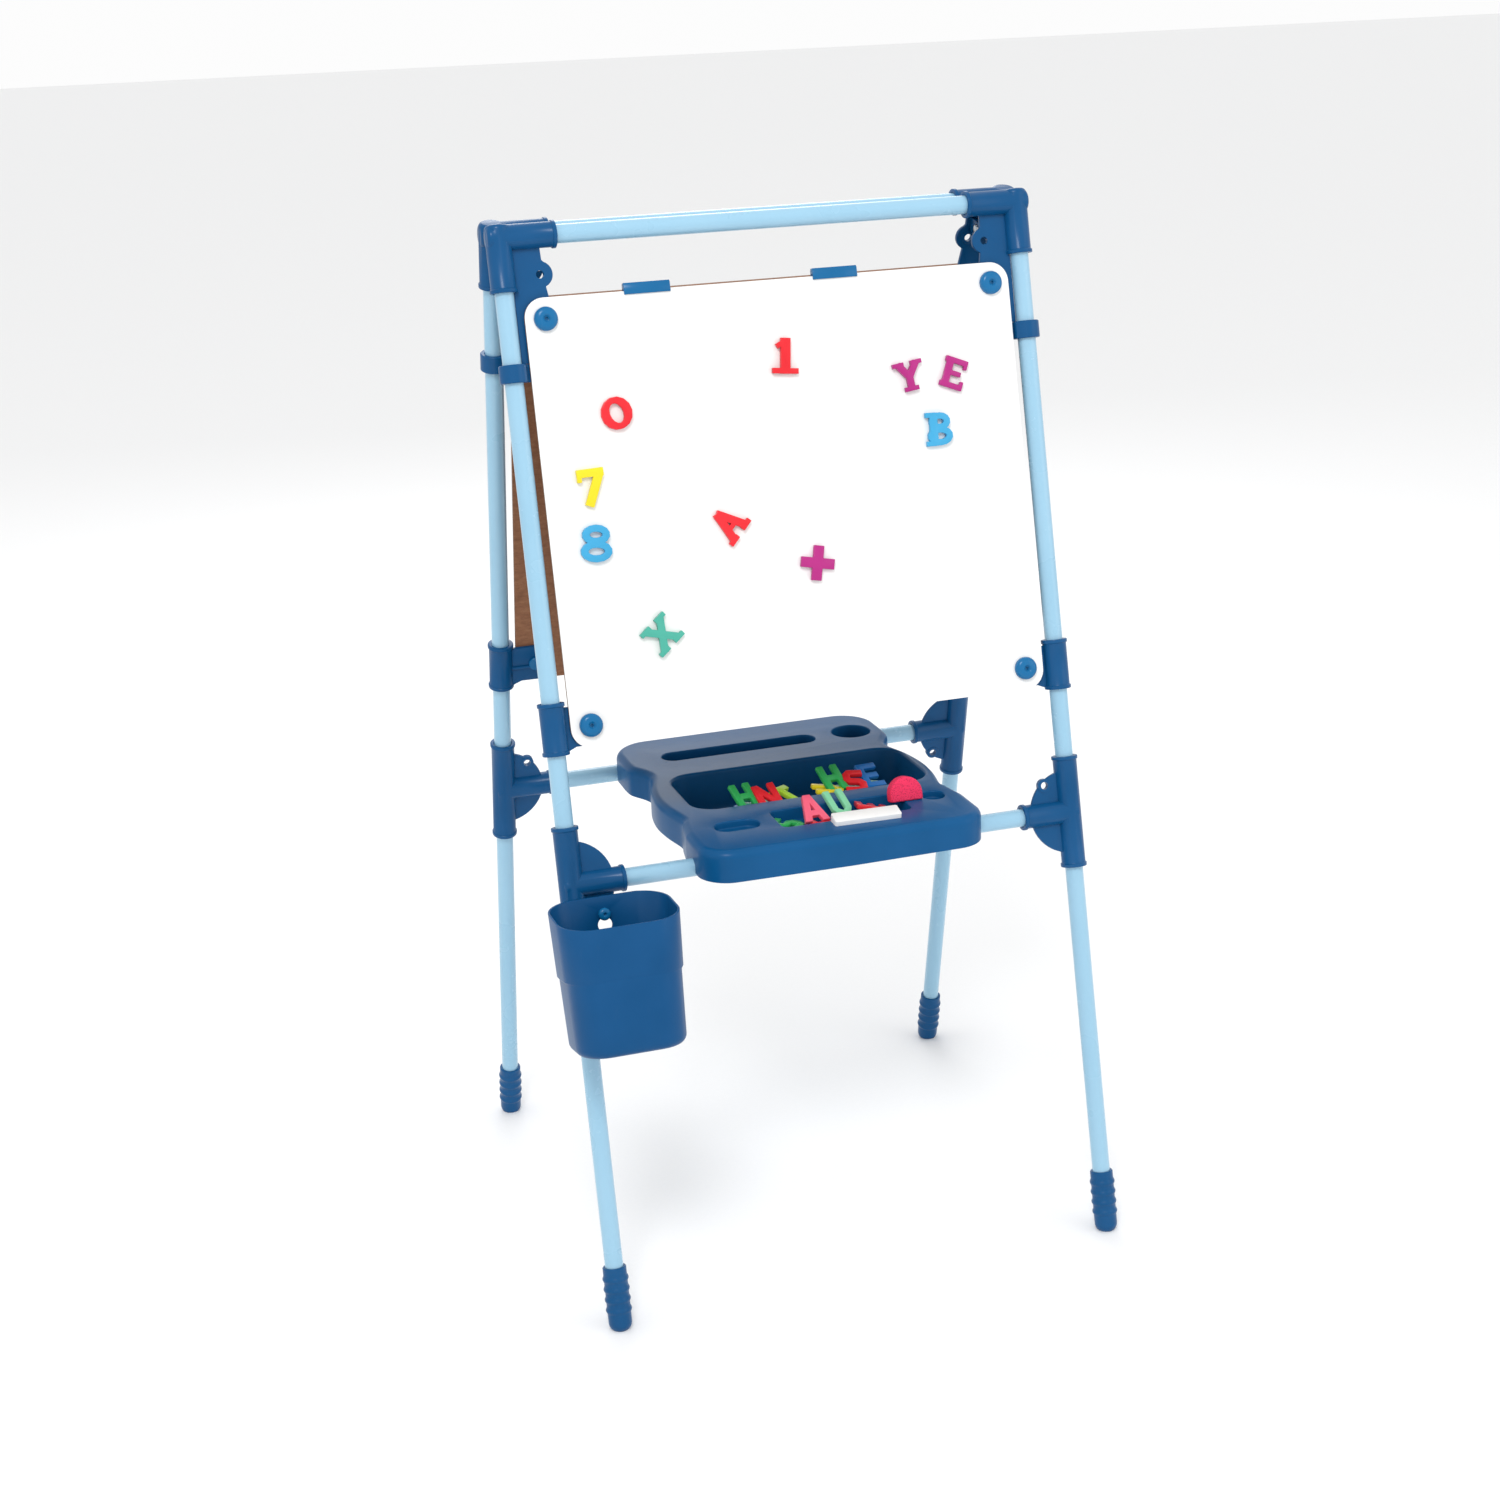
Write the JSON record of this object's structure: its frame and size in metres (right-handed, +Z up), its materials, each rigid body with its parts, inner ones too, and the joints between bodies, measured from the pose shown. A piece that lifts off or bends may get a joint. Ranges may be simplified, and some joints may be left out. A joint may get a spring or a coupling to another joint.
{
  "type": "kids easel",
  "caption": "Folding double-sided tube easel for children with magnetic and chalk boards, centre tray and hanging bucket",
  "frame": {"origin": "on the floor, midway between the four feet with the easel open", "axes": "+X to the easel's right as seen from the whiteboard side, +Y from the whiteboard side to the chalkboard side, +Z up"},
  "size_m": [0.5998, 0.5657, 1.0953],
  "materials": {
    "tube_paint": "smooth light blue powder coat",
    "blue_plastic": "moulded dark blue, satin",
    "white_face": "glossy white writing surface",
    "hardboard": "smooth brown hardboard",
    "clip_plastic": "gloss",
    "steel": "plain",
    "magnet_red": "satin",
    "magnet_yellow": "satin",
    "magnet_blue": "satin",
    "magnet_purple": "satin",
    "magnet_teal": "satin",
    "magnet_magenta": "satin"
  },
  "bodies": {
    "front_frame": {"front_top_rail": "tube_paint", "front_cross_tube": "tube_paint", "front_left_upper_leg": "tube_paint", "front_left_lower_leg": "tube_paint", "front_left_elbow": "blue_plastic", "front_left_collar": "blue_plastic", "front_left_board_bracket": "blue_plastic", "front_left_tee": "blue_plastic", "front_left_foot": "blue_plastic", "front_right_upper_leg": "tube_paint", "front_right_lower_leg": "tube_paint", "front_right_elbow": "blue_plastic", "front_right_collar": "blue_plastic", "front_right_board_bracket": "blue_plastic", "front_right_tee": "blue_plastic", "front_right_foot": "blue_plastic", "whiteboard_backing": "hardboard", "whiteboard_panel": "white_face", "whiteboard_knob_upper_left": "blue_plastic", "whiteboard_knob_lower_left": "blue_plastic", "whiteboard_knob_upper_right": "blue_plastic", "whiteboard_knob_lower_right": "blue_plastic", "hinge_pin_left": "steel", "hinge_pin_right": "steel", "bucket_knob": "blue_plastic", "magnet_1": "magnet_red", "magnet_0": "magnet_red", "magnet_a": "magnet_red", "magnet_7": "magnet_yellow", "magnet_8": "magnet_blue", "magnet_b": "magnet_blue", "magnet_plus": "magnet_purple", "magnet_x": "magnet_teal", "magnet_y": "magnet_magenta", "magnet_e": "magnet_magenta"},
    "rear_frame": {"rear_top_rail": "tube_paint", "rear_cross_tube": "tube_paint", "rear_left_upper_leg": "tube_paint", "rear_left_lower_leg": "tube_paint", "rear_left_elbow": "blue_plastic", "rear_left_collar": "blue_plastic", "rear_left_board_bracket": "blue_plastic", "rear_left_tee": "blue_plastic", "rear_left_foot": "blue_plastic", "rear_right_upper_leg": "tube_paint", "rear_right_lower_leg": "tube_paint", "rear_right_elbow": "blue_plastic", "rear_right_collar": "blue_plastic", "rear_right_board_bracket": "blue_plastic", "rear_right_tee": "blue_plastic", "rear_right_foot": "blue_plastic", "chalkboard_panel": "hardboard", "chalkboard_knob_upper_left": "blue_plastic", "chalkboard_knob_lower_left": "blue_plastic", "chalkboard_knob_upper_right": "blue_plastic", "chalkboard_knob_lower_right": "blue_plastic"},
    "tray": {"tray": "blue_plastic"},
    "bucket": {"bucket": "blue_plastic"},
    "paper_clip_left": {"paper_clip_left": "clip_plastic"},
    "paper_clip_right": {"paper_clip_right": "clip_plastic"}
  },
  "joints": [
    {"name": "fold", "type": "hinge", "parent": "front_frame", "child": "rear_frame", "pos_m": [0, 0, 1.0535], "axis": [1, 0, 0], "range_deg": [-25.7, 0]},
    {"name": "tray_tilt", "type": "hinge", "parent": "rear_frame", "child": "tray", "pos_m": [0, 0.15928, 0.45221], "axis": [1, 0, 0], "range_deg": [-38.6, 0]},
    {"name": "bucket_lift", "type": "slide", "parent": "front_frame", "child": "bucket", "axis": [0, 0.2227, 0.9749], "range_m": [0, 0.011]},
    {"name": "paper_clip_left_lift", "type": "slide", "parent": "front_frame", "child": "paper_clip_left", "axis": [0, 0.2227, 0.9749], "range_m": [0, 0.01]},
    {"name": "paper_clip_right_lift", "type": "slide", "parent": "front_frame", "child": "paper_clip_right", "axis": [0, 0.2227, 0.9749], "range_m": [0, 0.01]}
  ],
  "couplings": [
    {"joint": "tray_tilt", "follows": "fold", "ratio": 1.5}
  ]
}
